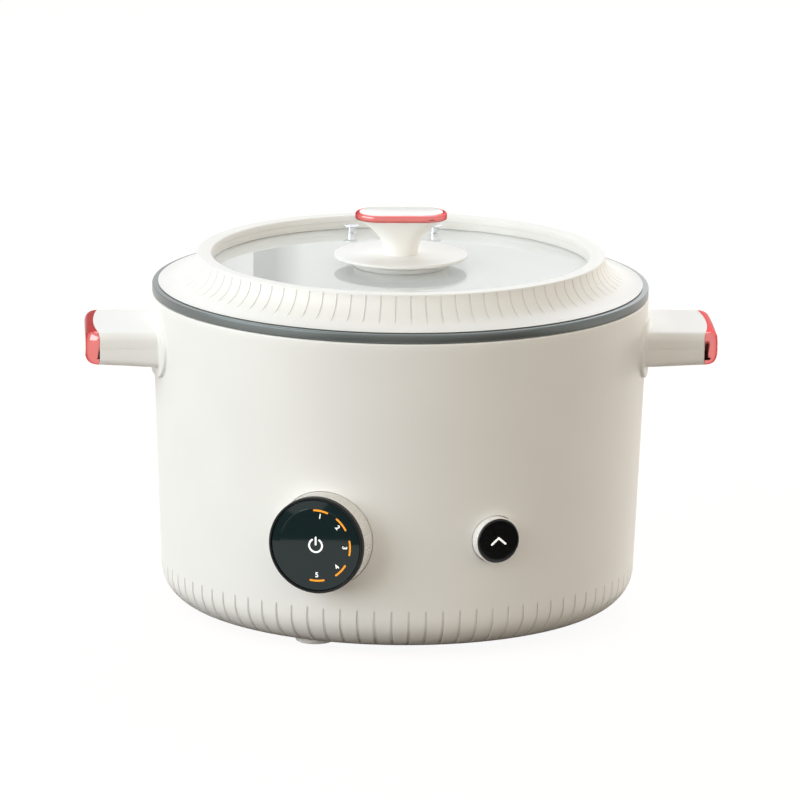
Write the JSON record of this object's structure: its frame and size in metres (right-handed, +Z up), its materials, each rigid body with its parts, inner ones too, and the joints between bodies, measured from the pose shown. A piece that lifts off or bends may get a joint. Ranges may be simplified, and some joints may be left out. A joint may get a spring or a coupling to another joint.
{
  "type": "multicooker",
  "caption": "Round countertop multicooker with a lift-off glass lid, side handles, a front dial, a push button and a basket that a motor lifts out of the pot.",
  "frame": {"origin": "on the body axis at table level, under the feet", "axes": "+Z up along the body axis, -Y towards the controls, handles along X"},
  "size_m": [0.394, 0.3315, 0.2501],
  "materials": {
    "shell_white": "satin moulded",
    "lid_white": "satin moulded",
    "knob_white": "satin moulded",
    "gloss_white": "polished",
    "base_plastic": "moulded",
    "foot_rubber": "moulded",
    "screw_steel": "bright",
    "sheet_steel": "rolled",
    "cast_aluminium": "as cast",
    "ceramic_white": "plain",
    "guide_plastic": "moulded",
    "gear_steel": "ground",
    "black_silicone": "moulded",
    "black_plastic": "moulded",
    "circuit_board": "lacquered",
    "bezel_black": "polished",
    "face_slate": "smoked, polished",
    "mark_orange": "inlaid",
    "symbol_white": "inlaid",
    "pot_coating": "semi-gloss coating",
    "basket_steel": "satin",
    "lid_glass": "clear",
    "gasket_grey": "moulded",
    "vent_chrome": "polished",
    "coral_chrome": "tinted, polished"
  },
  "bodies": {
    "root": {"housing": "shell_white", "base_plate": "base_plastic", "feet": "foot_rubber", "base_screws": "screw_steel", "handle_left": "shell_white", "handle_left_cover": "shell_white", "handle_left_band": "coral_chrome", "handle_left_cap": "gloss_white", "handle_right": "shell_white", "handle_right_cover": "shell_white", "handle_right_band": "coral_chrome", "handle_right_cap": "gloss_white", "handle_screws": "screw_steel", "heat_shield": "sheet_steel", "heating_plate": "cast_aluminium", "heating_element": "sheet_steel", "thermostat": "sheet_steel", "thermal_fuse": "ceramic_white", "guide_sleeve": "guide_plastic", "gear_carrier": "guide_plastic", "lift_motor": "sheet_steel", "dial_hub": "black_plastic", "dial_encoder": "black_plastic", "dial_board": "circuit_board", "button_bezel": "gloss_white", "button_board": "circuit_board", "lift_switch": "black_plastic", "power_board": "circuit_board", "board_parts": "black_plastic", "power_inlet": "shell_white", "inlet_pins": "screw_steel"},
    "pot": {"inner_pot": "pot_coating", "column_seal": "black_silicone"},
    "basket": {"lift_basket": "basket_steel", "basket_hub": "basket_steel"},
    "lid": {"lid_frame": "lid_white", "lid_glass": "lid_glass", "glass_gasket": "gasket_grey", "glass_retainer": "lid_white", "lid_seal": "gasket_grey", "steam_vents": "vent_chrome", "knob_base": "knob_white", "knob_grip": "knob_white", "knob_band": "coral_chrome", "knob_cap": "gloss_white", "knob_screw": "screw_steel", "knob_washer": "gasket_grey"},
    "rod": {"lift_rod": "gear_steel", "rod_tip": "black_silicone"},
    "drive_gear": {"pinion": "gear_steel"},
    "dial": {"dial_skirt": "shell_white", "dial_bezel": "bezel_black"},
    "power_key": {"dial_face": "face_slate", "mode_marks": "mark_orange", "power_symbol": "symbol_white"},
    "lift_key": {"button_cap": "bezel_black", "button_symbol": "symbol_white"}
  },
  "joints": [
    {"name": "pot_lift_out", "type": "slide", "parent": "root", "child": "pot", "axis": [0, 0, 1], "range_m": [0, 0.16]},
    {"name": "lid_lift_off", "type": "slide", "parent": "pot", "child": "lid", "axis": [0, 0, 1], "range_m": [0, 0.15]},
    {"name": "basket_lift", "type": "slide", "parent": "pot", "child": "basket", "axis": [0, 0, 1], "range_m": [0, 0.05]},
    {"name": "rod_slide", "type": "slide", "parent": "root", "child": "rod", "axis": [0, 0, 1], "range_m": [0, 0.05]},
    {"name": "pinion_spin", "type": "hinge", "parent": "root", "child": "drive_gear", "pos_m": [0.01575, 0, 0.073], "axis": [0, 1, 0], "range_deg": [0, 286.5]},
    {"name": "dial_turn", "type": "hinge", "parent": "root", "child": "dial", "pos_m": [-0.05215, -0.14098, 0.075], "axis": [-0.3469, -0.9379, 0], "continuous": true},
    {"name": "power_press", "type": "slide", "parent": "root", "child": "power_key", "axis": [0.3469, 0.9379, 0], "range_m": [0, 0.0013], "stiffness_N_per_m": 1500},
    {"name": "lift_press", "type": "slide", "parent": "root", "child": "lift_key", "axis": [-0.3469, 0.9379, 0], "range_m": [0, 0.003], "stiffness_N_per_m": 800}
  ],
  "couplings": [
    {"joint": "rod_slide", "follows": "basket_lift", "ratio": 1},
    {"joint": "pinion_spin", "follows": "basket_lift", "rad_per_m": 100}
  ]
}
